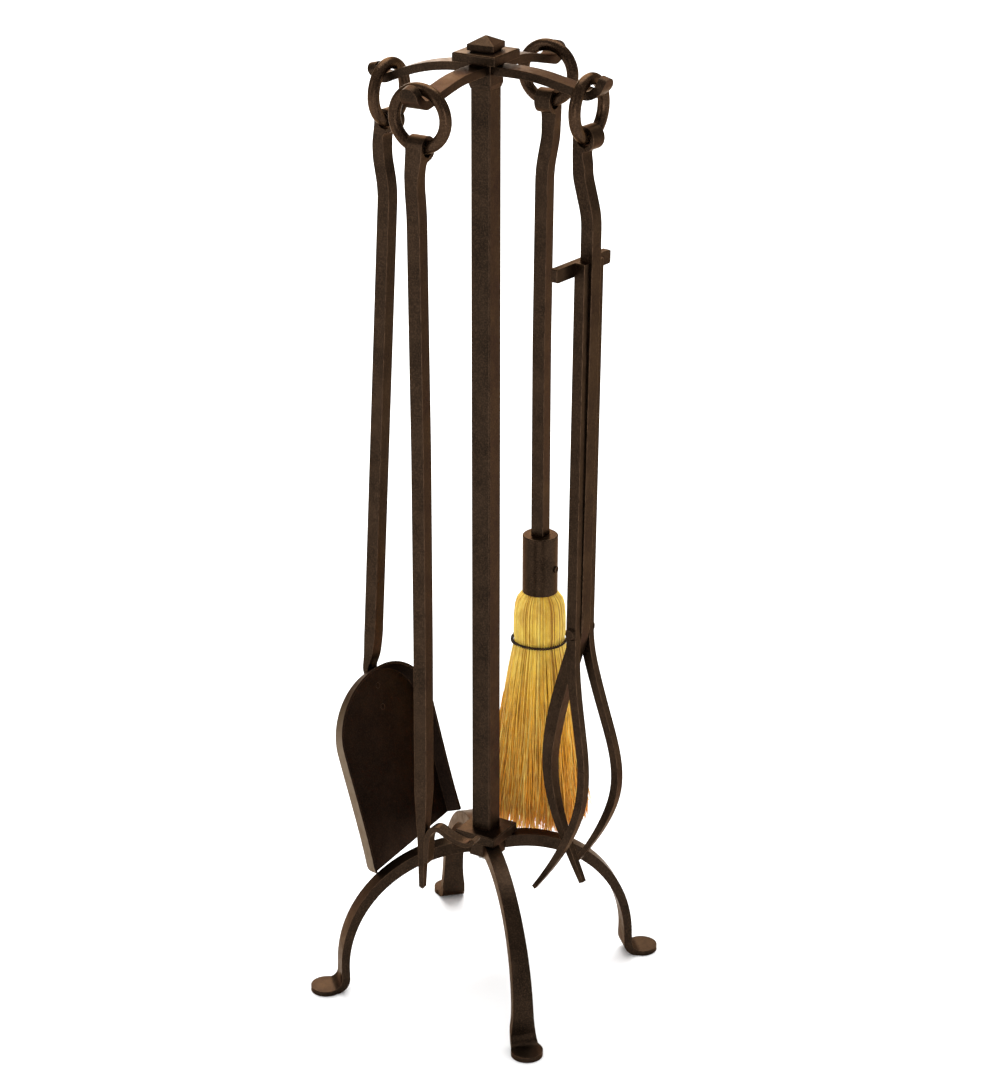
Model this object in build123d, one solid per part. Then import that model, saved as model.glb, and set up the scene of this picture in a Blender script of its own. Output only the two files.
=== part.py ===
from build123d import *
import os
from math import cos, radians, sin, sqrt

# Forged fireplace tool set. Millimetres, +Z up.
# The origin is on the floor, on the axis of the post.
# The four arms run out along X and Y, and the four legs along the diagonals between them.

# ---- stand: driving dimensions ----
POST = 17.2
POST_BASE = 139.0
POST_TOP = 773.0
BLOCK = 19.4
BLOCK_FLAT = 776.5
CAP_SIDE = 38.0
CAP_THICK = 7.0
CAP_TOP = 801.7
FINIAL_SIDE = 22.0
FINIAL_TOP = 813.0
FINIAL_TURN = 7.0
STUD_R = 4.0
STUD_HOLE_R = 4.15
STUD_LOW = 756.0
STUD_HIGH = 808.0

BASE_SIDE = 38.0
BASE_THICK = 8.0
BASE_BLOCK = 30.0
BASE_BLOCK_LOW = 117.0
LEG_WIDTH_TOP = 12.0
LEG_WIDTH_LOW = 18.0
FOOT_R = 13.2
FOOT_REACH = 139.8
FOOT_THICK = 4.5
BOLT_HEAD_FLATS = 13.0
BOLT_HEAD_THICK = 5.3
WASHER_R = 8.0
WASHER_THICK = 1.5

# ---- arms and rings ----
ARM_WIDTH = 15.2
ARM_THICK = 6.8
ARM_HEIGHT = 788.4
RING_R = 22.25
RING_BAR_R = 4.75
RING_HEIGHT = 768.5
# (outward, up) from the middle of a ring to the valley it sits in and the bend beyond
TO_VALLEY = (3.4, 10.0)
TO_BEND = (12.2, 17.4)

# each arm: its direction about Z, the reach of its ring, the ring's drop below RING_HEIGHT and
# the length of the arm's upturned tip
TONGS = (0.0, 90.0, 0.0, 8.2)
BROOM = (90.0, 94.5, 3.5, 6.2)
SHOVEL = (180.0, 87.8, 10.0, 4.6)
POKER = (270.0, 93.9, -1.0, 9.4)
TIP_RISE = 75.0

# ---- tool bars ----
BAR = 11.3
EYE_R = 9.8
EYE_BORE_R = 6.6
EYE_WIDTH = 14.0
NECK_LOW = -24.0

# how far a tool has turned about the vertical as it hangs, and how far it leans sideways
TONGS_TURN = -7.0
SHOVEL_TURN = -5.0
SHOVEL_SIDE = 0.45

# ---- poker ----
POKER_TIP = -620.0
POKER_TAPER = -532.0
POKER_NECK = -582.0
HOOK_THICK = 4.6
HOOK_WIDTH = 9.0

# ---- shovel ----
PAN_LENGTH = 152.6
PAN_HALF = 57.0
PAN_HALF_MOUTH = 57.5
PAN_BACK = 51.0
MOUTH_SKEW = 8.0
MOUTH_CORNER = 9.0
BACK_APEX = 4.0
PAN_DEPTH = 12.0
PAN_FLARE = 4.5
PAN_SHIFT = 10.7
PAN_SKEW = -2.6
PAN_SHEET = 1.8
PAN_TOP = (22.8, -477.5)
PAN_TILT = 15.0
LAP_LENGTH = 46.0
LAP_THICK = 4.0
RIVET_R = 2.5

# ---- broom ----
BROOM_REACH = -6.5
FERRULE_R = 15.0
FERRULE_BORE_R = 13.0
FERRULE_TOP = 374.0
FERRULE_LOW = 322.0
FERRULE_PLUG = 356.0
SOCKET = 11.5
SCREW_HEIGHT = 345.0
SCREW_R = 3.0
BRISTLE_LOW = 112.0
BRISTLE_R = 43.6
TWINE_HEIGHT = 279.0
TWINE_R = 1.4

# ---- tongs, in mm from the pivot of the ring ----
RIVET_AT = (-1.8, -405.0)
TONGS_RIVET_R = 3.0
TONGS_HOLE_R = 3.08
TONGS_HEAD_R = 5.5
TONGS_HEAD_THICK = 2.4
LEVER_THICK = 6.35
LEVER_DEPTH = 9.5
LEVER_GAP = 0.35
LEVER_OUT = BAR / 2 + LEVER_GAP + LEVER_THICK / 2
LEVER_TOP = -95.5
CROSSBAR_HALF = 34.6
CROSSBAR_TALL = 11.0
CROSSBAR_THICK = 6.0
CROSSBAR_AT = -101.3

os.makedirs("parts", exist_ok=True)


# ---------------------------------------------------------------- shared helpers
def save(name, shape):
    """Write one named piece."""
    shape.label = name
    export_step(shape, f"parts/{name}.step")
    print(name, round(shape.volume), "mm3", "valid" if shape.is_valid else "NOT VALID")


def side_on(face, width):
    """Stand a face drawn as (outward, up) upright and give it a width across."""
    return Rot(X=90) * extrude(face, width / 2, both=True)


def front_on(face, depth):
    """Stand a face drawn as (across, up) upright and give it a depth outward."""
    return Rot(Z=90) * Rot(X=90) * extrude(face, depth / 2, both=True)


def outline(*edges):
    """Face inside a closed run of edges."""
    return make_face(Curve() + list(edges))


def polygon(*points):
    """Face inside straight edges."""
    return make_face(Polyline(*points, close=True))


def strip(points, radii, thickness):
    """Face of even thickness along straight runs joined by arcs."""
    return trace(FilletPolyline(*points, radius=radii), thickness)


def tapered(points, widths):
    """Face whose thickness changes along a smooth centreline."""
    line = Spline(*points)
    left = []
    right = []
    for point, width in zip(points, widths):
        along = line.tangent_at(line.param_at_point(point))
        across = Vector(-along.Y, along.X) * (width / 2)
        left.append(Vector(*point) + across)
        right.append(Vector(*point) - across)
    return outline(
        Spline(*left),
        Line(left[-1], right[-1]),
        Spline(*reversed(right)),
        Line(right[0], left[0]),
    )


def rod(radius, low, high):
    """Upright round bar between two heights."""
    return Pos(Z=(low + high) / 2) * Cylinder(radius, high - low)


def block(side_x, side_y, low, high):
    """Upright square-cornered bar between two heights."""
    return Pos(Z=(low + high) / 2) * Box(side_x, side_y, high - low)


def pivot_height(place):
    """Height of the bottom of a ring, where its tool hangs."""
    return RING_HEIGHT - place[2] - RING_R


def hang(shape, place, turn=0.0, side=0.0):
    """Move a tool built round its pivot to its ring, turned and leaned as it hangs."""
    at, reach, *_ = place
    return Rot(Z=at) * Pos(reach, 0, pivot_height(place)) * Rot(Z=turn) * Rot(X=side) * shape


# ---------------------------------------------------------------- stand
def make_post():
    body = block(POST, POST, POST_BASE, POST_TOP)
    body = chamfer(body.edges().filter_by(Axis.Z), 0.8)
    body -= rod(STUD_HOLE_R, STUD_LOW - 1, POST_TOP)
    body -= rod(STUD_HOLE_R, POST_BASE, POST_BASE + 22)
    return body


def make_top_block():
    body = block(BLOCK, BLOCK, BLOCK_FLAT, CAP_TOP - CAP_THICK)
    low = Pos(Z=POST_TOP) * Rectangle(POST, POST)
    high = Pos(Z=BLOCK_FLAT) * Rectangle(BLOCK, BLOCK)
    body += loft([low, high])
    return body - rod(STUD_HOLE_R, POST_TOP - 1, CAP_TOP)


def make_cap_plate():
    plate = block(CAP_SIDE, CAP_SIDE, CAP_TOP - CAP_THICK, CAP_TOP)
    plate = chamfer(plate.edges().group_by(Axis.Z)[-1], 1.0)
    plate = fillet(plate.edges().filter_by(Axis.Z), 0.8)
    return plate - rod(STUD_HOLE_R, CAP_TOP - CAP_THICK - 1, CAP_TOP + 1)


def make_finial():
    neck = block(FINIAL_SIDE - 4, FINIAL_SIDE - 4, CAP_TOP, CAP_TOP + 1.2)
    slab_top = CAP_TOP + 5.8
    slab = block(FINIAL_SIDE, FINIAL_SIDE, CAP_TOP + 1.2, slab_top)
    low = Pos(Z=slab_top) * Rectangle(FINIAL_SIDE, FINIAL_SIDE)
    high = Pos(Z=FINIAL_TOP) * Rectangle(1.2, 1.2)
    body = neck + slab + loft([low, high])
    return Rot(Z=FINIAL_TURN) * (body - rod(STUD_HOLE_R, CAP_TOP - 1, STUD_HIGH + 0.4))


def make_finial_stud():
    return rod(STUD_R, STUD_LOW, STUD_HIGH)


def make_base_plate():
    plate = block(BASE_SIDE, BASE_SIDE, POST_BASE - BASE_THICK, POST_BASE)
    plate = chamfer(plate.edges().group_by(Axis.Z)[-1], 1.0)
    plate = fillet(plate.edges().filter_by(Axis.Z), 0.8)
    return plate - rod(STUD_HOLE_R, POST_BASE - BASE_THICK - 1, POST_BASE + 1)


def leg_seat():
    """Distance from the axis to the flat at each corner of the base block."""
    return BASE_BLOCK / 2 * sqrt(2) - LEG_WIDTH_TOP / 2


def make_base_block():
    top = POST_BASE - BASE_THICK
    body = block(BASE_BLOCK, BASE_BLOCK, BASE_BLOCK_LOW, top)
    seat = leg_seat()
    body &= Rot(Z=45) * block(2 * seat, 2 * seat, BASE_BLOCK_LOW, top)
    return body - rod(STUD_HOLE_R, BASE_BLOCK_LOW - 1, top + 1)


def make_base_bolt():
    washer_low = BASE_BLOCK_LOW - WASHER_THICK
    head = RegularPolygon(BOLT_HEAD_FLATS / sqrt(3), 6)
    head = Pos(Z=washer_low - BOLT_HEAD_THICK) * extrude(head, BOLT_HEAD_THICK)
    return head + rod(STUD_R, washer_low, POST_BASE + 18)


def make_base_washer():
    low = BASE_BLOCK_LOW - WASHER_THICK
    return rod(WASHER_R, low, BASE_BLOCK_LOW) - rod(STUD_HOLE_R, low - 1, BASE_BLOCK_LOW + 1)


def leg_profile():
    """Leg seen side on: two arcs that tighten as they fall, a straight shin and a flat foot."""
    start = leg_seat()
    flat = 20.0
    top = 130.0
    long_r = 110.0
    short_r = 106.0
    thick = 10.7
    shin_out = flat + long_r / 2 + short_r / 2
    shin_in = shin_out - 7.0
    low_long = 105.0
    low_short = 2 * (shin_in - flat) - low_long
    low_top = top - thick
    a = (flat, top)
    outer_long = CenterArc((flat, top - long_r), long_r, 60, 30)
    b = outer_long @ 0
    centre = (b.X - short_r / 2, b.Y - short_r * cos(radians(30)))
    outer_short = CenterArc(centre, short_r, 0, 60)
    c = outer_short @ 0
    inner_long = CenterArc((flat, low_top - low_long), low_long, 60, 30)
    d = inner_long @ 0
    centre = (d.X - low_short / 2, d.Y - low_short * cos(radians(30)))
    inner_short = CenterArc(centre, low_short, 0, 60)
    e = inner_short @ 0
    bend = 8.0
    heel = bend + FOOT_THICK
    toe = FOOT_REACH + FOOT_R + 1
    instep = CenterArc((c.X + bend, heel), bend, 180, 90)
    sole = CenterArc((e.X + heel, heel), heel, 180, 90)
    return outline(
        Line((start, top), a),
        outer_long,
        outer_short,
        Line(c, instep @ 0),
        instep,
        Line(instep @ 1, (toe, FOOT_THICK)),
        Line((toe, FOOT_THICK), (toe, 0)),
        Line((toe, 0), sole @ 1),
        sole,
        Line(sole @ 0, e),
        inner_short,
        inner_long,
        Line((flat, low_top), (start, low_top)),
        Line((start, low_top), (start, top)),
    )


def leg_front():
    """Leg seen end on: it widens downwards and spreads into the foot."""
    half_top = LEG_WIDTH_TOP / 2
    half_low = LEG_WIDTH_LOW / 2
    right = Spline(
        (FOOT_R, FOOT_THICK),
        (half_low + 1.8, 10.0),
        (half_low + 0.3, 22.0),
        (half_low - 0.5, 36.0),
        tangents=((-1, 0.6), (-0.03, 1)),
    )
    left = mirror(right, Plane.YZ)
    return outline(
        Line((-FOOT_R, 0), (FOOT_R, 0)),
        Line((FOOT_R, 0), (FOOT_R, FOOT_THICK)),
        right,
        Line((half_low - 0.5, 36.0), (half_top, POST_BASE)),
        Line((half_top, POST_BASE), (-half_top, POST_BASE)),
        Line((-half_top, POST_BASE), (0.5 - half_low, 36.0)),
        left,
        Line((-FOOT_R, FOOT_THICK), (-FOOT_R, 0)),
    )


def make_leg(at):
    half = LEG_WIDTH_LOW / 2 + 0.4
    heel = FOOT_REACH - FOOT_R - 10
    spread = FOOT_REACH - FOOT_R / 2
    plan = polygon((0, -half), (heel, -half), (spread, -11.43), (spread, 11.43), (heel, half), (0, half))
    plan += Pos(FOOT_REACH, 0) * Circle(FOOT_R)
    body = side_on(leg_profile(), 2 * FOOT_R) & front_on(leg_front(), 400) & extrude(plan, POST_BASE)
    return Rot(Z=at) * body


def make_arm(place):
    """Flat arm that reaches out, dips for the ring and turns up to a round end."""
    at, reach, drop, length = place
    rise = radians(TIP_RISE)
    valley, bend = [(reach + x, RING_HEIGHT - drop + z) for x, z in (TO_VALLEY, TO_BEND)]
    tip = (bend[0] + length * cos(rise), bend[1] + length * sin(rise))
    points = ((BLOCK / 2, ARM_HEIGHT), (45.0, ARM_HEIGHT), valley, bend, tip)
    bar = side_on(strip(points, (150.0, 11.0, 9.0), ARM_THICK), ARM_WIDTH)
    half = ARM_WIDTH / 2
    end = Pos(tip[0] - half * cos(rise), 0, tip[1] - half * sin(rise)) * Rot(Y=-TIP_RISE)
    corner = Pos(half, 0, 0) * Box(2 * half, 3 * half, 3 * ARM_THICK)
    corner -= Cylinder(half, 4 * ARM_THICK)
    return Rot(Z=at) * (bar - end * corner)


# ---------------------------------------------------------------- rings and tool bars
def make_ring(place):
    at, reach, drop, _ = place
    return Rot(Z=at) * Pos(reach, 0, RING_HEIGHT - drop) * Rot(Y=90) * Torus(RING_R, RING_BAR_R)


def eye_and_neck(side, offset):
    """Flattened end of a bar wrapped round the ring; side is +1 with the bar outermost."""
    drop = NECK_LOW
    inner = side * (offset - BAR / 2)
    outer = side * (offset + BAR / 2)
    neck = outline(
        Line((0, -EYE_R), (0, 0)),
        Line((0, 0), (side * EYE_R, 0)),
        Spline((side * EYE_R, 0), (outer, drop), tangents=((0, -1), (0, -1))),
        Line((outer, drop), (inner, drop)),
        Spline((inner, drop), (0, -EYE_R), tangents=((0, 1), (-side * 0.8, 0.6))),
    )
    face = Circle(EYE_R) + neck - Circle(EYE_BORE_R)
    face -= Pos(-side * 2.4, -EYE_R + 1.4) * Rot(Z=side * 52) * Rectangle(7.0, 0.7)
    half = EYE_WIDTH / 2
    front = polygon(
        (-BAR / 2, drop),
        (BAR / 2, drop),
        (half, -EYE_BORE_R),
        (half, EYE_R + 1),
        (-half, EYE_R + 1),
        (-half, -EYE_BORE_R),
    )
    return side_on(face, EYE_WIDTH) & front_on(front, 60)


def bar_from_eye(side, points, radii):
    """Square bar from an eye down through the given (outward, up) points."""
    path = strip(points, radii, BAR)
    return eye_and_neck(side, side * points[0][0]) + side_on(path, BAR)


# ---------------------------------------------------------------- poker
def poker_half(height):
    """Half thickness of the poker's point at a height below its pivot."""
    if height > POKER_NECK:
        slope = (height - POKER_TAPER) / (POKER_NECK - POKER_TAPER)
        return BAR / 2 - 2.4 * slope
    slope = (height - POKER_NECK) / (POKER_TIP - POKER_NECK)
    return BAR / 2 - 2.4 - 1.1 * slope


def poker_centre(height):
    """How far out the middle of the poker's point is at a height below its pivot."""
    return 3.0 + (POKER_TAPER - height) * 0.039


def make_poker_spike():
    heights = (POKER_TAPER, POKER_NECK, POKER_TIP + 2, POKER_TIP)
    halves = [poker_half(height) for height in heights]
    halves[-1] = halves[-1] - 1.2
    sides = []
    fronts = []
    for sign, order in ((1, 1), (-1, -1)):
        for half, height in list(zip(halves, heights))[::order]:
            sides.append((poker_centre(height) + sign * half, height))
            fronts.append((sign * half, height))
    return side_on(polygon(*sides), BAR) & front_on(polygon(*fronts), 60)


def make_poker_shaft():
    foot = (poker_centre(POKER_TAPER), POKER_TAPER)
    points = ((7.8, NECK_LOW), (7.8, -30.0), (5.4, -48.0), (4.4, -120.0), (2.4, -240.0), (2.2, -400.0), foot)
    return bar_from_eye(1, points, (80.0, 200.0, 900.0, 1500.0, 1500.0)) + make_poker_spike()


def make_poker_hook():
    """Side barb: rises beside the point, turns over and ends in an upturned lip."""
    low = -594.0
    leave = -584.0
    off = HOOK_THICK / 2 - 0.1
    path = (
        (poker_half(low) + off, low),
        (poker_half(leave) + off, leave),
        (6.6, -571.0),
        (10.2, -563.2),
        (16.0, -560.4),
        (22.5, -562.8),
        (30.0, -565.6),
        (38.0, -567.2),
        (45.0, -566.4),
        (50.4, -560.6),
    )
    widths = (3.4, HOOK_THICK, HOOK_THICK, HOOK_THICK, HOOK_THICK, HOOK_THICK, HOOK_THICK, 4.4, 4.0, 3.2)
    body = Pos(X=poker_centre(leave)) * front_on(tapered(path, widths), HOOK_WIDTH)
    return body - make_poker_spike()


# ---------------------------------------------------------------- shovel
def pan_outline(half, start, end):
    """Round-backed outline in the plate's own plane, one corner of its mouth rounded off."""
    back = start + PAN_BACK
    mouth = half + PAN_HALF_MOUTH - PAN_HALF
    low = -end - MOUTH_SKEW
    inset = mouth - MOUTH_CORNER
    corner = low + MOUTH_CORNER
    return outline(
        EllipticalCenterArc((-BACK_APEX, -back), half + BACK_APEX, PAN_BACK, arc_size=90),
        EllipticalCenterArc((-BACK_APEX, -back), half - BACK_APEX, PAN_BACK, start_angle=90, arc_size=90),
        Spline((-half, -back), (-mouth, -end), tangents=((0, -1), (-0.07, -1))),
        Line((-mouth, -end), (inset, low)),
        CenterArc((inset, corner), MOUTH_CORNER, 270, 90),
        Spline((mouth, corner), (half, -back), tangents=((-0.07, 1), (0, 1))),
    )


def pan_place():
    """Location of the pan's plate: its plane leans in towards the post at the mouth."""
    plane = Pos(PAN_TOP[0], 0, PAN_TOP[1]) * Rot(Y=PAN_TILT) * Rot(Z=90) * Rot(X=90)
    return plane * Pos(X=PAN_SHIFT) * Rot(Z=PAN_SKEW)


def make_shovel_pan():
    long = PAN_LENGTH
    outer = loft([
        pan_outline(PAN_HALF, 0, long),
        Pos(Z=-PAN_DEPTH) * pan_outline(PAN_HALF + PAN_FLARE, -PAN_FLARE, long),
    ])
    inner_half = PAN_HALF - PAN_SHEET
    inner = loft([
        Pos(Z=-PAN_SHEET) * pan_outline(inner_half + 0.5, PAN_SHEET - 0.5, long + 20),
        Pos(Z=-PAN_DEPTH - PAN_SHEET)
        * pan_outline(inner_half + PAN_FLARE + 0.5, PAN_SHEET - PAN_FLARE - 0.5, long + 20),
    ])
    pan = pan_place() * (outer - inner)
    for along in rivet_spots():
        pan -= across_plate(Cylinder(RIVET_R + 0.05, 4 * LAP_THICK), along)
    return pan


def pan_frame(along, off):
    """Point in the tool's side view: along the plate from its back, off its outer face."""
    lean = radians(PAN_TILT)
    x = PAN_TOP[0] - along * sin(lean) + off * cos(lean)
    return (x, PAN_TOP[1] - along * cos(lean) - off * sin(lean))


def rivet_spots():
    return (15.0, 34.0)


def across_plate(shape, along):
    """Set a shape whose axis is Z square to the plate, with Z=0 on the plate's outer face."""
    x, z = pan_frame(along, 0)
    return Pos(x, 0, z) * Rot(Y=90 + PAN_TILT) * shape


def make_shovel_shaft():
    knee = (21.0, -435.0)
    points = ((7.4, NECK_LOW), (7.4, -30.0), (2.2, -56.0), knee)
    bar = bar_from_eye(1, points, (60.0, 90.0))
    drawn = tapered(
        (knee, (22.3, -454.0), (24.2, -468.0), pan_frame(-1.5, 2.7), pan_frame(6.0, LAP_THICK / 2)),
        (BAR, 10.0, 7.2, 5.0, LAP_THICK),
    )
    lap = polygon(
        pan_frame(3.0, 0),
        pan_frame(3.0, LAP_THICK),
        pan_frame(LAP_LENGTH, LAP_THICK),
        pan_frame(LAP_LENGTH, 0),
    )
    low = pan_frame(LAP_LENGTH, 0)[1]
    half = BAR / 2
    flare = PAN_TOP[1]
    right = ((3.5, low), (6.5, low + 4), (6.5, flare), (half, knee[1] + 1))
    left = [(-across, height) for across, height in reversed(right)]
    front = polygon(*right, *left)
    end = side_on(drawn, 18) + side_on(lap, 18)
    bar += end & front_on(front, 80)
    for along in rivet_spots():
        bar -= across_plate(Cylinder(RIVET_R + 0.05, 4 * LAP_THICK), along)
    return bar


def make_shovel_rivets():
    rivets = []
    for along in rivet_spots():
        shank = Pos(Z=(LAP_THICK - PAN_SHEET) / 2) * Cylinder(RIVET_R, LAP_THICK + PAN_SHEET)
        head = Pos(Z=LAP_THICK) * extrude(Circle(RIVET_R * 1.8), 1.6, taper=30)
        rivets.append(across_plate(shank + head, along))
    return Compound(rivets)


# ---------------------------------------------------------------- broom
def down_to(height):
    """A height above the floor, measured from the pivot instead."""
    return height - pivot_height(BROOM)


def make_broom_shaft():
    foot = BROOM_REACH
    plug = down_to(FERRULE_PLUG)
    points = ((5.6, NECK_LOW), (5.6, -30.0), (-3.8, -55.0), (-5.0, -114.0), (foot, -200.0), (foot, plug))
    return bar_from_eye(1, points, (30.0, 60.0, 400.0, 600.0))


def make_broom_ferrule():
    low = down_to(FERRULE_LOW)
    plug = down_to(FERRULE_PLUG)
    top = down_to(FERRULE_TOP)
    body = rod(FERRULE_R, low, top)
    body = chamfer(body.edges().filter_by(GeomType.CIRCLE), 0.8)
    body -= rod(FERRULE_BORE_R, low - 1, plug)
    body -= block(SOCKET, SOCKET, plug - 1, top + 1)
    hole = Pos(0, -FERRULE_R, down_to(SCREW_HEIGHT)) * Rot(X=90) * Cylinder(SCREW_R + 0.05, 8)
    return Pos(X=BROOM_REACH) * (body - hole)


def make_broom_set_screw():
    length = 3.2
    screw = Cylinder(SCREW_R, length) - Pos(Z=1) * extrude(RegularPolygon(1.7, 6), 2)
    place = Pos(BROOM_REACH, -FERRULE_BORE_R - length / 2 + 0.1, down_to(SCREW_HEIGHT))
    return place * Rot(X=90) * screw


def make_broom_bristles():
    neck = FERRULE_BORE_R - 0.15
    heights = (FERRULE_LOW - 1, 314.0, 300.0, TWINE_HEIGHT, 250.0, 220.0, 190.0, 150.0, 120.0)
    radii = (neck + 3, 20.0, 21.7, 22.2, 27.0, 31.6, 35.4, 39.7, BRISTLE_R - 0.7)
    flank = [(radius, down_to(height)) for radius, height in zip(radii, heights)]
    top = down_to(FERRULE_PLUG) - 0.5
    low = down_to(BRISTLE_LOW)
    half = outline(
        Line((0, top), (neck, top)),
        Line((neck, top), (neck, flank[0][1])),
        Line((neck, flank[0][1]), flank[0]),
        Spline(*flank),
        Line(flank[-1], (BRISTLE_R - 4, low)),
        Line((BRISTLE_R - 4, low), (0, low)),
        Line((0, low), (0, top)),
    )
    body = revolve(Rot(X=90) * half, Axis.Z)
    groove = Pos(Z=down_to(TWINE_HEIGHT)) * Torus(TWINE_R + 22.1, TWINE_R + 0.05)
    return Pos(X=BROOM_REACH) * (body - groove)


def make_broom_twine():
    ring = Torus(TWINE_R + 22.1, TWINE_R)
    return Pos(BROOM_REACH, 0, down_to(TWINE_HEIGHT)) * ring


# ---------------------------------------------------------------- tongs
def bar_at(height):
    """Centre of the straight part of the tongs' main bar at a height."""
    top = (3.2, -110.0)
    share = (height - top[1]) / (RIVET_AT[1] - top[1])
    return top[0] + share * (RIVET_AT[0] - top[0])


def make_tongs_bar():
    points = ((-5.0, NECK_LOW), (-5.0, -30.0), (3.7, -61.0), (bar_at(-110), -110.0), RIVET_AT)
    bar = bar_from_eye(-1, points, (40.0, 60.0, 400.0))
    path = (
        (bar_at(-385), -385.0),
        RIVET_AT,
        (-7.4, -427.0),
        (-17.5, -460.0),
        (-26.3, -496.0),
        (-30.3, -532.0),
        (-26.8, -561.0),
        (-14.6, -596.0),
        (4.2, -634.0),
    )
    face = tapered(path, (BAR, BAR, BAR, BAR, BAR, 9.6, 8.8, 7.0, 4.4))
    low = path[-1][1] - 6
    front = polygon((-5, -380), (-5, -540), (-3.4, -596), (-2, low), (2, low), (3.4, -596), (5, -540), (5, -380))
    bar += side_on(face, BAR) & front_on(front, 120)
    hole = Pos(RIVET_AT[0], 0, RIVET_AT[1]) * Rot(X=90) * Cylinder(TONGS_HOLE_R, 2 * BAR)
    return bar - hole


def lever_arm():
    """Straight side bar of the lever, seen side on."""
    inner = bar_at(CROSSBAR_AT) - BAR / 2 - 0.4
    half = LEVER_DEPTH / 2
    return polygon(
        (inner, LEVER_TOP),
        (inner + LEVER_DEPTH, LEVER_TOP),
        (RIVET_AT[0] + half, RIVET_AT[1]),
        (RIVET_AT[0] - half, RIVET_AT[1]),
    )


def make_tongs_lever(side):
    """One side bar of the lever and the fork prong that it runs into."""
    path = (
        (RIVET_AT[0] + 0.25, RIVET_AT[1] + 20),
        RIVET_AT,
        (-0.6, -426.0),
        (2.7, -446.0),
        (12.2, -486.0),
        (19.4, -522.0),
        (19.0, -548.0),
        (6.3, -586.0),
        (-4.4, -606.0),
        (-22.6, -634.0),
    )
    depths = (LEVER_DEPTH, LEVER_DEPTH, 9.0, 8.2, 7.2, 7.0, 7.0, 6.4, 5.4, 3.6)
    spread = (
        (LEVER_OUT, RIVET_AT[1] + 20),
        (LEVER_OUT, RIVET_AT[1]),
        (LEVER_OUT + 0.25, RIVET_AT[1] - 8),
        (10.5, -426.0),
        (13.0, -446.0),
        (17.7, -486.0),
        (22.6, -526.0),
        (26.8, -566.0),
        (29.2, -606.0),
        (31.0, -640.0),
    )
    flat = Pos(LEVER_OUT, (LEVER_TOP + RIVET_AT[1]) / 2) * Rectangle(LEVER_THICK, LEVER_TOP - RIVET_AT[1])
    front = flat + tapered(spread, (LEVER_THICK, LEVER_THICK, LEVER_THICK, 6.4, 6.6, 6.8, 6.8, 6.6, 5.4, 3.4))
    bar = side_on(lever_arm() + tapered(path, depths), 100) & front_on(front, 120)
    bar -= Pos(RIVET_AT[0], 0, RIVET_AT[1]) * Rot(X=90) * Cylinder(TONGS_RIVET_R + 0.02, 60)
    if side < 0:
        bar = mirror(bar, Plane.XZ)
    return bar


def make_tongs_crossbar():
    outer = bar_at(CROSSBAR_AT) - BAR / 2 - 0.4
    bar = Box(CROSSBAR_THICK, 2 * CROSSBAR_HALF, CROSSBAR_TALL)
    bar = fillet(bar.edges().filter_by(Axis.X), 2.0)
    bar = Pos(outer - CROSSBAR_THICK / 2, 0, CROSSBAR_AT) * bar
    return bar - side_on(lever_arm(), 3 * CROSSBAR_HALF)


def make_tongs_rivet():
    face = BAR / 2 + LEVER_GAP + LEVER_THICK + 0.15
    shank = Cylinder(TONGS_RIVET_R, 2 * face)
    head = extrude(Circle(TONGS_HEAD_R), TONGS_HEAD_THICK, taper=35)
    rivet = shank + Pos(Z=face) * head + Rot(X=180) * Pos(Z=face) * head
    return Pos(RIVET_AT[0], 0, RIVET_AT[1]) * Rot(X=90) * rivet


# ---------------------------------------------------------------- export
def build_stand():
    save("post", make_post())
    save("top_block", make_top_block())
    save("cap_plate", make_cap_plate())
    save("finial", make_finial())
    save("finial_stud", make_finial_stud())
    save("base_plate", make_base_plate())
    save("base_block", make_base_block())
    save("base_bolt", make_base_bolt())
    save("base_washer", make_base_washer())
    for name, at in (("front", 315), ("right", 45), ("back", 135), ("left", 225)):
        save(f"leg_{name}", make_leg(at))
    for name, place in (("tongs", TONGS), ("broom", BROOM), ("shovel", SHOVEL), ("poker", POKER)):
        save(f"{name}_arm", make_arm(place))
        save(f"{name}_ring", make_ring(place))


def build_poker():
    for name, make in (("shaft", make_poker_shaft), ("hook", make_poker_hook)):
        save(f"poker_{name}", hang(make(), POKER))


def build_shovel():
    pieces = (("shaft", make_shovel_shaft), ("pan", make_shovel_pan), ("rivets", make_shovel_rivets))
    for name, make in pieces:
        save(f"shovel_{name}", hang(make(), SHOVEL, SHOVEL_TURN, SHOVEL_SIDE))


def build_broom():
    pieces = (
        ("shaft", make_broom_shaft),
        ("ferrule", make_broom_ferrule),
        ("set_screw", make_broom_set_screw),
        ("bristles", make_broom_bristles),
        ("twine", make_broom_twine),
    )
    for name, make in pieces:
        save(f"broom_{name}", hang(make(), BROOM))


def build_tongs():
    pieces = (
        ("main_bar", make_tongs_bar()),
        ("lever_front", make_tongs_lever(-1)),
        ("lever_rear", make_tongs_lever(1)),
        ("crossbar", make_tongs_crossbar()),
        ("rivet", make_tongs_rivet()),
    )
    for name, piece in pieces:
        save(f"tongs_{name}", hang(piece, TONGS, TONGS_TURN))


build_stand()
build_poker()
build_shovel()
build_broom()
build_tongs()
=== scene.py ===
import math
import random

import bpy
from mathutils import Matrix, Vector


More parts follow.
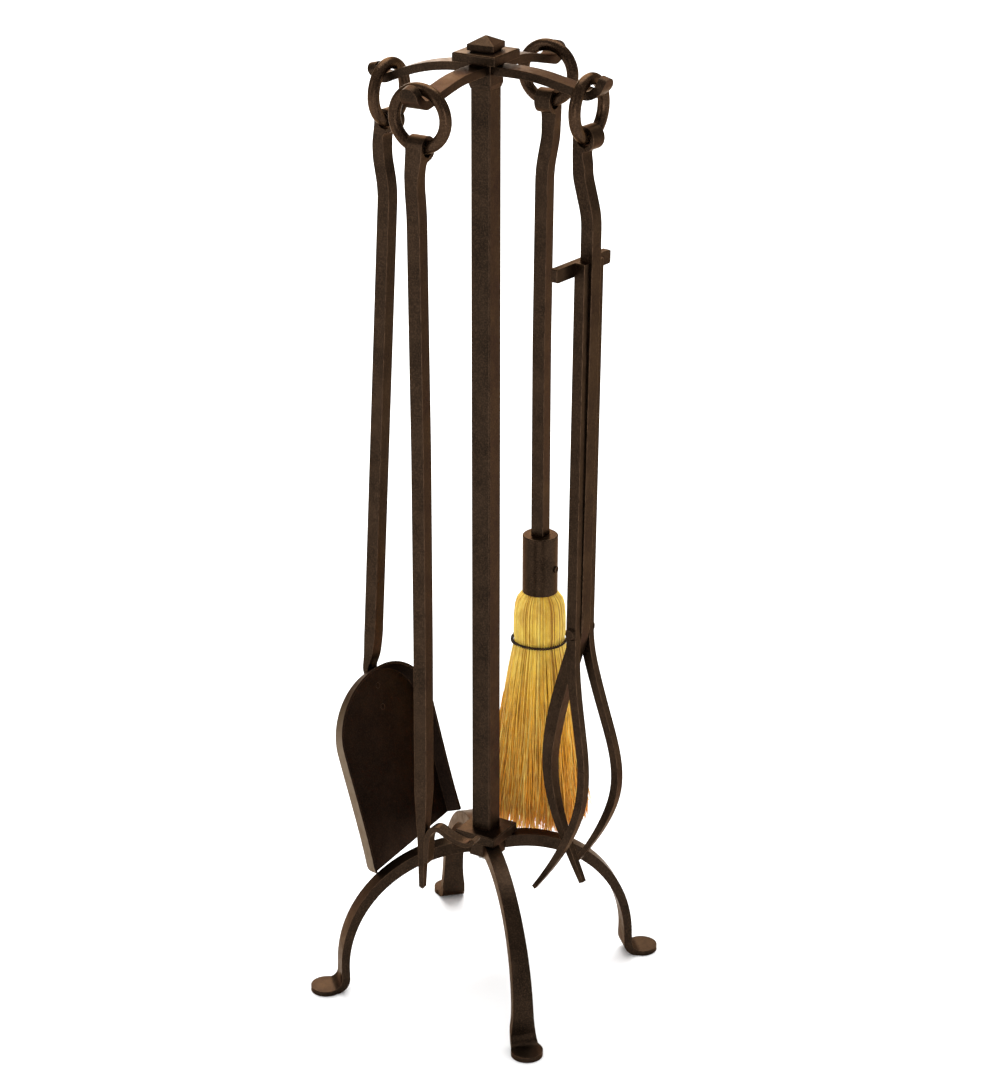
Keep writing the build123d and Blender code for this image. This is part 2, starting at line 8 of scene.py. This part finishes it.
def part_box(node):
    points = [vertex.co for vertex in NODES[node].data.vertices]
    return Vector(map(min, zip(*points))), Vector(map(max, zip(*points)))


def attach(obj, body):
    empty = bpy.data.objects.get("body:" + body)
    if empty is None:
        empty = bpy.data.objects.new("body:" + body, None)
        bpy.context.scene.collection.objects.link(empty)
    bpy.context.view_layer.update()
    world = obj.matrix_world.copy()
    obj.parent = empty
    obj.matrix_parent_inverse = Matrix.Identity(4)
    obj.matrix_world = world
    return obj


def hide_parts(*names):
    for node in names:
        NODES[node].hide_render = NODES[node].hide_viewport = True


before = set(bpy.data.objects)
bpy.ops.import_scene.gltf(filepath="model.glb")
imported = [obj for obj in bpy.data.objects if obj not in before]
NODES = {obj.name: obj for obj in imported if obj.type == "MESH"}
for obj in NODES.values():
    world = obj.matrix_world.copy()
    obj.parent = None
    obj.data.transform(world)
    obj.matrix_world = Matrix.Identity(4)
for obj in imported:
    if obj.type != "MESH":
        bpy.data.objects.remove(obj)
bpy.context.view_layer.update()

MM = 0.001

# ---- broom, measured from the CAD, in metres ----
FERRULE_LOW, FERRULE_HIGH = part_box("broom_ferrule")
BROOM_X = (FERRULE_LOW.x + FERRULE_HIGH.x) / 2
BROOM_Y = (FERRULE_LOW.y + FERRULE_HIGH.y) / 2
FERRULE_Z = FERRULE_LOW.z
TWINE_LOW, TWINE_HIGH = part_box("broom_twine")
TWINE_Z = (TWINE_LOW.z + TWINE_HIGH.z) / 2
STRAW_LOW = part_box("broom_bristles")[0].z

# ---- shovel pan, in metres ----
PAN_LOW, PAN_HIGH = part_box("shovel_pan")
PAN_MIDDLE_Y = (PAN_LOW.y + PAN_HIGH.y) / 2

# ---- straw and binding, in mm ----
LONG_STALKS = 1500
SHORT_STALKS = 1900
STRAY_STALKS = 60
STRAW_SEED = 41
STALK_TOP = -12.0
BINDING_DEPTH = 46.0
LOOSE_LENGTH = 150.0
CORE_SHARE = 0.88
CORE_DEPTH = 110.0
CORE_SIDES = 40
STRAND_RADIUS = 0.66
STRAND_LAY = 0.80
STRAND_TWISTS = 32
STRAND_STEPS = 552
STRAND_SIDES = 8
STRAND_INSET = 1.5

# radius of the whole bundle against depth below the ferrule: shoulder, waist at the binding, flare
BUNDLE = (
    (-16.0, 12.2),
    (-2.0, 12.6),
    (2.0, 16.4),
    (6.0, 19.4),
    (12.0, 21.0),
    (22.0, 21.9),
    (36.0, 22.0),
    (43.0, 21.2),
    (50.0, 22.6),
    (61.0, 24.8),
    (72.0, 26.9),
    (87.0, 29.3),
    (102.0, 31.5),
    (117.0, 33.5),
    (132.0, 35.2),
    (152.0, 37.5),
    (172.0, 39.4),
    (192.0, 41.2),
    (211.0, 42.6),
)

# ---- metal tones: dark, light, edge wear and painted highlight, roughness ----
STAND = ((0.0078, 0.0046, 0.0026), (0.0185, 0.0108, 0.0062), (0.110, 0.064, 0.038), 0.33)
TOOL = ((0.0098, 0.0055, 0.0030), (0.0225, 0.0128, 0.0072), (0.120, 0.070, 0.041), 0.32)
# ring tones are set lighter than the tool tones: a painted highlight
RING_WITH_HIGHLIGHT = ((0.0150, 0.0080, 0.0043), (0.0380, 0.0205, 0.0112), (0.160, 0.092, 0.052), 0.26)
PAN = ((0.0060, 0.0032, 0.0024), (0.0130, 0.0072, 0.0050), (0.080, 0.048, 0.030), 0.46)
# pale tone for the pan's left outer wall: a painted reflection
FLANK_REFLECTION = (0.155, 0.122, 0.090)
SHEEN_TINT = (0.62, 0.49, 0.39, 1)
METAL_SHARE = 0.88
EDGE_ROUNDING = 0.9 * MM
DENT_DEPTH = 1.4 * MM
DENT_STRENGTH = 0.22
PLATED = ("finial_stud", "base_bolt", "base_washer")
TOOLS = ("poker", "shovel", "broom", "tongs")

# ---- stage, in metres and degrees ----
FLOOR_SIDE = 30.0
FILL_LEVEL = 0.66
SUN_STRENGTH = 4.0
SUN_SPREAD = 55
SUN_WAY = (0.30, -0.55, -1.0)
# name, place, target, size, radiance
SOFTBOXES = (
    ("back", (-1.9, 2.4, 1.5), (0, 0, 0.5), (1.0, 1.8), 4.4),
    ("side", (-1.6, -2.2, 1.5), (0, 0, 0.45), (0.7, 1.8), 4.0),
    ("front", (1.5, -2.0, 0.8), (0, 0.1, 0.3), (0.9, 1.2), 4.2),
)
CAMERA_PLACE = (1.1266, -1.8634, 1.3097)
CAMERA_TURN = 30.965
CAMERA_DOWN = 22.76
CAMERA_ROLL = 0.069
CAMERA_LENS = 96.37
CAMERA_SENSOR = 36.0


# ---------------------------------------------------------------- node helpers
class Nodes:
    """Short way to write a material's node tree."""

    def __init__(self, name):
        self.material = bpy.data.materials.new(name)
        self.material.use_nodes = True
        self.tree = self.material.node_tree
        self.shader = self.tree.nodes["Principled BSDF"]

    def add(self, kind, **values):
        node = self.tree.nodes.new(kind)
        for key, value in values.items():
            setattr(node, key, value)
        return node

    def link(self, source, target):
        self.tree.links.new(source, target)

    def coordinates(self, scale=(1, 1, 1), shift=(0, 0, 0)):
        place = self.add("ShaderNodeMapping")
        place.inputs["Scale"].default_value = scale
        place.inputs["Location"].default_value = shift
        self.link(self.add("ShaderNodeTexCoord").outputs["Object"], place.inputs["Vector"])
        return place.outputs["Vector"]

    def noise(self, vector, scale, detail=3.0, rough=0.55):
        node = self.add("ShaderNodeTexNoise")
        node.inputs["Scale"].default_value = scale
        node.inputs["Detail"].default_value = detail
        node.inputs["Roughness"].default_value = rough
        self.link(vector, node.inputs["Vector"])
        return node.outputs["Fac"]

    def spread(self, value, low, high, to_low=0.0, to_high=1.0):
        node = self.add("ShaderNodeMapRange")
        node.inputs["From Min"].default_value = low
        node.inputs["From Max"].default_value = high
        node.inputs["To Min"].default_value = to_low
        node.inputs["To Max"].default_value = to_high
        self.link(value, node.inputs["Value"])
        return node.outputs["Result"]

    def ramp(self, value, *stops):
        node = self.add("ShaderNodeValToRGB")
        points = node.color_ramp.elements
        while len(points) < len(stops):
            points.new(0.5)
        for point, (position, colour) in zip(points, stops):
            point.position = position
            point.color = (*colour, 1)
        self.link(value, node.inputs["Fac"])
        return node.outputs["Color"]

    def mix(self, share, first, second):
        """Mixes two colours, each a tuple or a socket, by a socket."""
        node = self.add("ShaderNodeMix", data_type="RGBA")
        self.link(share, node.inputs[0])
        for socket, value in ((node.inputs[6], first), (node.inputs[7], second)):
            if isinstance(value, bpy.types.NodeSocket):
                self.link(value, socket)
            else:
                socket.default_value = (*value, 1)
        return node.outputs[2]

    def maths(self, operation, first, second):
        node = self.add("ShaderNodeMath", operation=operation)
        for socket, value in zip(node.inputs, (first, second)):
            if isinstance(value, bpy.types.NodeSocket):
                self.link(value, socket)
            else:
                socket.default_value = value
        return node.outputs[0]

    def axis(self, vector, letter):
        node = self.add("ShaderNodeSeparateXYZ")
        self.link(vector, node.inputs[0])
        return node.outputs[letter]

    def bump(self, height, distance, strength, normal=None):
        node = self.add("ShaderNodeBump")
        node.inputs["Distance"].default_value = distance
        node.inputs["Strength"].default_value = strength
        self.link(height, node.inputs["Height"])
        if normal is not None:
            self.link(normal, node.inputs["Normal"])
        return node.outputs["Normal"]


# ---------------------------------------------------------------- materials
def painted_flank_reflection(n, tone, blotch):
    """Paints a pale painted reflection on the front-facing outside of the pan's left wall."""
    spot = n.add("ShaderNodeTexCoord")
    facing = n.spread(n.axis(spot.outputs["Normal"], "Y"), -0.45, -0.9)
    left = n.maths("LESS_THAN", n.axis(spot.outputs["Object"], "Y"), PAN_MIDDLE_Y)
    outer = n.maths("MULTIPLY", facing, left)
    share = n.maths("MULTIPLY", outer, n.spread(blotch, 0.3, 0.6, 0.6, 1.0))
    return n.mix(share, tone, FLANK_REFLECTION)


def forged(name, tones, seed):
    """Forged bar under a bronze coating: mottled, softly dented, lighter brown at its edges from wear and
    from a painted highlight.
    """
    dark, light, worn_and_highlight, rough = tones
    n = Nodes("forged_" + name)
    shift = (seed * 0.37, seed * 0.71, seed * 0.13)
    here = n.coordinates(shift=shift)
    cloud = n.noise(here, 42.0, 4.0, 0.6)
    grain = n.noise(here, 900.0, 3.0, 0.6)
    blotch = n.noise(here, 150.0, 3.0, 0.55)
    rounded = n.add("ShaderNodeBevel", samples=4)
    rounded.inputs["Radius"].default_value = EDGE_ROUNDING
    flat = n.add("ShaderNodeNewGeometry")
    turn = n.add("ShaderNodeVectorMath", operation="DOT_PRODUCT")
    n.link(rounded.outputs["Normal"], turn.inputs[0])
    n.link(flat.outputs["Normal"], turn.inputs[1])
    edges = n.spread(turn.outputs["Value"], 0.995, 0.86)
    # edge band: lighter brown along every edge, partly wear and partly a painted highlight
    edge_wear_and_highlight = n.maths("MULTIPLY", edges, n.spread(blotch, 0.36, 0.62, 0.15, 1.0))
    tone = n.mix(n.spread(cloud, 0.35, 0.68), dark, light)
    tone = n.mix(n.maths("MULTIPLY", n.spread(grain, 0.45, 0.8), 0.35), tone, worn_and_highlight)
    tone = n.mix(edge_wear_and_highlight, tone, worn_and_highlight)
    # painted reflection on the front-facing outside of the pan's left wall
    if name == "shovel_pan":
        tone = painted_flank_reflection(n, tone, blotch)
    n.link(tone, n.shader.inputs["Base Color"])
    n.shader.inputs["Metallic"].default_value = METAL_SHARE
    n.shader.inputs["Specular Tint"].default_value = SHEEN_TINT
    broad = n.spread(blotch, 0.3, 0.7, rough - 0.05, rough + 0.09)
    gloss = n.maths("ADD", broad, n.spread(grain, 0.3, 0.7, -0.03, 0.05))
    n.link(gloss, n.shader.inputs["Roughness"])
    dents = n.noise(here, 70.0, 2.0, 0.45)
    dented = n.bump(dents, DENT_DEPTH, DENT_STRENGTH, rounded.outputs["Normal"])
    pitted = n.bump(grain, 0.12 * MM, 0.55, dented)
    n.link(pitted, n.shader.inputs["Normal"])
    return n.material


def straw_material():
    """Dry broomcorn: pale gold at the binding, orange-brown at the tips, each stalk its own shade."""
    n = Nodes("straw")
    fine = n.noise(n.coordinates((1, 1, 0.12)), 1500.0, 3.0, 0.6)
    along = n.noise(n.coordinates((1, 1, 0.5)), 160.0, 3.0, 0.6)
    here = n.add("ShaderNodeTexCoord").outputs["Object"]
    height = n.spread(n.axis(here, "Z"), STRAW_LOW, FERRULE_Z)
    own = n.add("ShaderNodeAttribute", attribute_name="stalk").outputs["Fac"]
    body = n.ramp(
        height,
        (0.0, (0.94, 0.290, 0.010)),
        (0.25, (0.99, 0.390, 0.014)),
        (0.6, (1.0, 0.510, 0.026)),
        (0.8, (1.0, 0.660, 0.075)),
        (1.0, (0.93, 0.560, 0.055)),
    )
    # low stalk values darken to brown: darker stalks at random, and the painted shade of the bundle's middle
    # (0.02)
    tone = n.mix(n.spread(own, 0.0, 0.45, 1.0, 0.0), body, (0.36, 0.115, 0.006))
    tone = n.mix(n.spread(own, 0.6, 1.0, 0.0, 0.75), tone, (1.0, 0.82, 0.22))
    tone = n.mix(n.spread(along, 0.40, 0.66, 0.0, 0.55), tone, (0.52, 0.200, 0.012))
    tone = n.mix(n.spread(fine, 0.35, 0.7, 0.0, 0.20), tone, (1.0, 0.84, 0.26))
    n.link(tone, n.shader.inputs["Base Color"])
    n.link(n.spread(fine, 0.3, 0.7, 0.42, 0.62), n.shader.inputs["Roughness"])
    n.shader.inputs["Specular IOR Level"].default_value = 0.25
    n.shader.inputs["Subsurface Weight"].default_value = 0.12
    n.shader.inputs["Subsurface Radius"].default_value = (0.002, 0.001, 0.0004)
    n.shader.inputs["Subsurface Scale"].default_value = 1.0
    n.link(n.bump(fine, 0.15 * MM, 0.5), n.shader.inputs["Normal"])
    return n.material


def twine_material():
    """Dark waxed binding with a fibrous twist."""
    n = Nodes("twine")
    fibre = n.noise(n.coordinates(), 2200.0, 3.0, 0.6)
    tone = n.ramp(fibre, (0.3, (0.006, 0.004, 0.003)), (0.7, (0.034, 0.018, 0.010)))
    n.link(tone, n.shader.inputs["Base Color"])
    n.shader.inputs["Specular IOR Level"].default_value = 0.2
    n.link(n.spread(fibre, 0.3, 0.7, 0.55, 0.8), n.shader.inputs["Roughness"])
    n.link(n.bump(fibre, 0.12 * MM, 0.6), n.shader.inputs["Normal"])
    return n.material


def plated(name, seed):
    """Plain plated fixing, dulled by handling."""
    n = Nodes("plated_" + name)
    here = n.coordinates(shift=(seed, 0, 0))
    cloud = n.noise(here, 120.0, 4.0, 0.6)
    scratch = n.noise(n.coordinates((1, 1, 0.08)), 1400.0, 2.0, 0.5)
    tone = n.ramp(cloud, (0.3, (0.22, 0.21, 0.20)), (0.7, (0.42, 0.41, 0.39)))
    n.link(tone, n.shader.inputs["Base Color"])
    n.shader.inputs["Metallic"].default_value = 1.0
    n.link(n.spread(scratch, 0.3, 0.7, 0.3, 0.5), n.shader.inputs["Roughness"])
    n.link(n.bump(scratch, 0.08 * MM, 0.4), n.shader.inputs["Normal"])
    return n.material


def floor_material():
    """Plain white studio floor."""
    n = Nodes("floor")
    cloud = n.noise(n.coordinates(), 3.0)
    tone = n.ramp(cloud, (0.3, (0.93, 0.93, 0.93)), (0.7, (0.96, 0.96, 0.96)))
    n.link(tone, n.shader.inputs["Base Color"])
    n.shader.inputs["Roughness"].default_value = 0.75
    n.shader.inputs["Specular IOR Level"].default_value = 0.15
    return n.material


def tones_of(name):
    """Metal tones of a CAD node: the pan, the rings, the other tool parts and the stand differ."""
    # rings get the lighter tones, a painted highlight
    if name.endswith("_ring"):
        return RING_WITH_HIGHLIGHT
    if name in ("shovel_pan", "shovel_rivets"):
        return PAN
    if name.startswith(TOOLS) and not name.endswith("_arm"):
        return TOOL
    return STAND


def finish_cad_nodes():
    for index, (name, node) in enumerate(sorted(NODES.items())):
        if name in PLATED:
            material = plated(name, index)
        else:
            material = forged(name, tones_of(name), index)
        node.data.materials.clear()
        node.data.materials.append(material)


# ---------------------------------------------------------------- broom straw
def bundle_radius(depth):
    """Radius of the whole bundle at a depth below the ferrule, both in mm."""
    for (d0, r0), (d1, r1) in zip(BUNDLE, BUNDLE[1:]):
        if depth <= d1:
            share = max(0.0, (depth - d0) / (d1 - d0))
            return r0 + (r1 - r0) * share
    return BUNDLE[-1][1]


def add_piece(name, points, faces, material):
    """New smooth-shaded mesh object in the scene."""
    mesh = bpy.data.meshes.new(name)
    mesh.from_pydata(points, [], faces)
    for polygon in mesh.polygons:
        polygon.use_smooth = True
    mesh.materials.append(material)
    piece = bpy.data.objects.new(name, mesh)
    bpy.context.scene.collection.objects.link(piece)
    return piece


class Bundle:
    """Collects the stalks of the broom as one mesh."""

    def __init__(self):
        self.points = []
        self.faces = []
        self.shades = []

    def stalk(self, path, widths, shade, turn):
        """Three-sided stalk along a path of (x, y, depth), closed at both ends."""
        first = len(self.points)
        for (x, y, depth), width in zip(path, widths):
            for side in range(3):
                angle = turn + side * math.tau / 3
                self.points.append((
                    BROOM_X + (x + width * math.cos(angle)) * MM,
                    BROOM_Y + (y + width * math.sin(angle)) * MM,
                    FERRULE_Z - depth * MM,
                ))
                self.shades.append(shade)
        for ring in range(len(path) - 1):
            for side in range(3):
                a = first + ring * 3 + side
                b = first + ring * 3 + (side + 1) % 3
                self.faces.append((a, a + 3, b + 3, b))
        last = len(self.points) - 3
        self.faces.append((first, first + 1, first + 2))
        self.faces.append((last + 2, last + 1, last))

    def core(self):
        """Dark middle of the bundle, painted shade between the stalks, so that no light shows between them.
        """
        first = len(self.points)
        sides = CORE_SIDES
        depths = [depth for depth, _ in BUNDLE if depth <= CORE_DEPTH]
        for depth in depths:
            for side in range(sides):
                angle = side * math.tau / sides
                reach = CORE_SHARE * bundle_radius(depth) * MM
                self.points.append((
                    BROOM_X + reach * math.cos(angle),
                    BROOM_Y + reach * math.sin(angle),
                    FERRULE_Z - depth * MM,
                ))
                # painted shade: the middle takes the darkest straw tone
                self.shades.append(0.02)
        for ring in range(len(depths) - 1):
            for side in range(sides):
                a = first + ring * sides + side
                b = first + ring * sides + (side + 1) % sides
                self.faces.append((a, a + sides, b + sides, b))
        self.faces.append(tuple(first + side for side in range(sides)))
        low = first + (len(depths) - 1) * sides
        self.faces.append(tuple(low + side for side in reversed(range(sides))))

    def build(self, name, material):
        piece = add_piece(name, self.points, self.faces, material)
        shade = piece.data.attributes.new("stalk", "FLOAT", "POINT")
        shade.data.foreach_set("value", self.shades)
        return piece


def stalk_path(rng, share, start, end, wave, drift, spill=0.0):
    """A stalk that keeps its place in the bundle, with its own waves and drift."""
    angle = rng.uniform(0, math.tau)
    phase = rng.uniform(0, math.tau)
    other = rng.uniform(0, math.tau)
    beat = rng.uniform(16.0, 44.0)
    depths = [depth for depth, _ in BUNDLE if start <= depth < end - 4]
    if not depths or depths[0] > start + 2:
        depths.insert(0, start)
    if end - 26 > depths[-1] + 6:
        depths += [end - 26, end - 12]
    depths.append(end)
    path = []
    for depth in depths:
        loose = max(0.0, min(1.0, (depth - BINDING_DEPTH) / LOOSE_LENGTH)) ** 1.3
        turn = angle + drift * loose
        reach = share * bundle_radius(depth) + spill * loose * loose
        x = reach * math.cos(turn) + wave * loose * math.sin(depth / beat + phase)
        y = reach * math.sin(turn) + wave * loose * math.sin(depth / beat * 1.31 + other)
        path.append((x, y, depth))
    return path


def long_stalk(bundle, rng, bottom):
    """Thick stalk that runs from inside the ferrule to the tips."""
    share = 1.0 - 0.42 * rng.random() ** 1.6
    end = bottom - 26 * rng.random() ** 2.2
    wave = rng.uniform(0.4, 2.2)
    path = stalk_path(rng, share * 0.985, STALK_TOP, end, wave, rng.gauss(0, 0.07))
    thick = rng.uniform(0.46, 0.74)
    widths = [thick * (1.0 - 0.55 * max(0, depth - 40) / bottom) for _, _, depth in path]
    bundle.stalk(path, widths, rng.random(), rng.uniform(0, math.tau))


def short_stalk(bundle, rng, bottom):
    """Thin wavy stalk of the loose lower part."""
    share = 0.30 + 0.72 * rng.random() ** 0.6
    start = rng.uniform(75.0, 150.0)
    end = bottom - 34 * rng.random() ** 1.8
    wave = rng.uniform(1.4, 4.0)
    path = stalk_path(rng, min(share, 1.0) * 0.985, start, end, wave, rng.gauss(0, 0.15))
    widths = [rng.uniform(0.24, 0.50)] * len(path)
    bundle.stalk(path, widths, rng.random() ** 1.2, rng.uniform(0, math.tau))


def stray_stalk(bundle, rng, bottom):
    """Stalk that has sprung out of the bundle."""
    end = bottom - rng.uniform(0, 40)
    start = rng.uniform(60, 120)
    drift = rng.gauss(0, 0.16)
    path = stalk_path(rng, 0.98, start, end, 1.2, drift, rng.uniform(1.5, 5.5))
    widths = [0.26] * len(path)
    bundle.stalk(path, widths, rng.uniform(0.4, 1.0), rng.uniform(0, math.tau))


def build_bristles(material):
    rng = random.Random(STRAW_SEED)
    bundle = Bundle()
    bottom = (FERRULE_Z - STRAW_LOW) / MM
    bundle.core()
    for count, grow in ((LONG_STALKS, long_stalk), (SHORT_STALKS, short_stalk), (STRAY_STALKS, stray_stalk)):
        for _ in range(count):
            grow(bundle, rng, bottom)
    piece = bundle.build("broom_straw_bundle", material)
    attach(piece, "broom")
    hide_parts("broom_bristles")


# ---------------------------------------------------------------- twine
def strand_centre(angle, start):
    """Centre line of one strand: laid round the other, sagging a little as it goes round the bundle."""
    reach = (TWINE_HIGH.x - TWINE_LOW.x) / 2 / MM - STRAND_INSET
    spin = STRAND_TWISTS * angle + start
    sag = 0.9 * math.sin(angle + 0.7) + 0.35 * math.sin(3 * angle)
    out = reach + STRAND_LAY * math.cos(spin)
    return Vector((out * math.cos(angle), out * math.sin(angle), sag + STRAND_LAY * math.sin(spin)))


def build_twine(material):
    """Two strands laid round each other and drawn tight round the bundle."""
    middle = Vector((BROOM_X, BROOM_Y, TWINE_Z))
    steps = STRAND_STEPS
    sides = STRAND_SIDES
    points = []
    faces = []
    for start in (0.0, math.pi):
        first = len(points)
        for step in range(steps):
            angle = math.tau * step / steps
            centre = strand_centre(angle, start)
            radial = Vector((math.cos(angle), math.sin(angle), 0))
            for side in range(sides):
                around = math.tau * side / sides
                offset = radial * math.cos(around) + Vector((0, 0, 1)) * math.sin(around)
                points.append(middle + (centre + offset * STRAND_RADIUS) * MM)
        for step in range(steps):
            following = (step + 1) % steps
            for side in range(sides):
                beside = (side + 1) % sides
                faces.append((
                    first + step * sides + side,
                    first + following * sides + side,
                    first + following * sides + beside,
                    first + step * sides + beside,
                ))
    piece = add_piece("broom_binding", points, faces, material)
    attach(piece, "broom")
    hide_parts("broom_twine")


# ---------------------------------------------------------------- stage
def build_floor():
    side = FLOOR_SIDE
    corners = [(-side, -side, 0), (side, -side, 0), (side, side, 0), (-side, side, 0)]
    floor = add_piece("floor", corners, [(0, 1, 2, 3)], floor_material())


def softbox(name, place, target, size, radiance):
    """Rectangular area light that the camera doesn't see."""
    light = bpy.data.lights.new(name, "AREA")
    light.shape = "RECTANGLE"
    light.size, light.size_y = size
    light.energy = radiance * math.pi * size[0] * size[1]
    lamp = bpy.data.objects.new(name, light)
    lamp.location = place
    lamp.rotation_euler = (Vector(target) - Vector(place)).to_track_quat("-Z", "Y").to_euler()
    lamp.visible_camera = False
    bpy.context.scene.collection.objects.link(lamp)


def build_world():
    """Evenly white backdrop that lights the object less brightly than it looks."""
    world = bpy.data.worlds.new("studio")
    bpy.context.scene.world = world
    world.use_nodes = True
    tree = world.node_tree
    background = tree.nodes["Background"]
    background.inputs["Color"].default_value = (1, 1, 1, 1)
    seen = tree.nodes.new("ShaderNodeLightPath")
    level = tree.nodes.new("ShaderNodeMapRange")
    level.inputs["To Min"].default_value = FILL_LEVEL
    level.inputs["To Max"].default_value = 1.0
    tree.links.new(seen.outputs["Is Camera Ray"], level.inputs["Value"])
    tree.links.new(level.outputs["Result"], background.inputs["Strength"])


def build_lights():
    """One very soft light from overhead and behind, and three softboxes round the object."""
    overhead = bpy.data.lights.new("overhead", "SUN")
    overhead.energy = SUN_STRENGTH
    overhead.angle = math.radians(SUN_SPREAD)
    lamp = bpy.data.objects.new("overhead", overhead)
    lamp.rotation_euler = Vector(SUN_WAY).to_track_quat("-Z", "Y").to_euler()
    bpy.context.scene.collection.objects.link(lamp)
    for box in SOFTBOXES:
        softbox(*box)


def build_camera():
    lens = bpy.data.cameras.new("camera")
    lens.sensor_width = CAMERA_SENSOR
    lens.lens = CAMERA_LENS
    lens.clip_end = 100.0
    camera = bpy.data.objects.new("camera", lens)
    turn = math.radians(CAMERA_TURN)
    down = math.radians(CAMERA_DOWN)
    level = math.cos(down)
    forward = Vector((-math.sin(turn) * level, math.cos(turn) * level, -math.sin(down)))
    look = forward.to_track_quat("-Z", "Y").to_matrix().to_4x4()
    roll = Matrix.Rotation(math.radians(CAMERA_ROLL), 4, "Z")
    camera.matrix_world = Matrix.Translation(CAMERA_PLACE) @ look @ roll
    bpy.context.scene.collection.objects.link(camera)
    bpy.context.scene.camera = camera


finish_cad_nodes()
build_bristles(straw_material())
build_twine(twine_material())
build_floor()
build_world()
build_lights()
build_camera()
bpy.context.scene.view_settings.view_transform = "Standard"
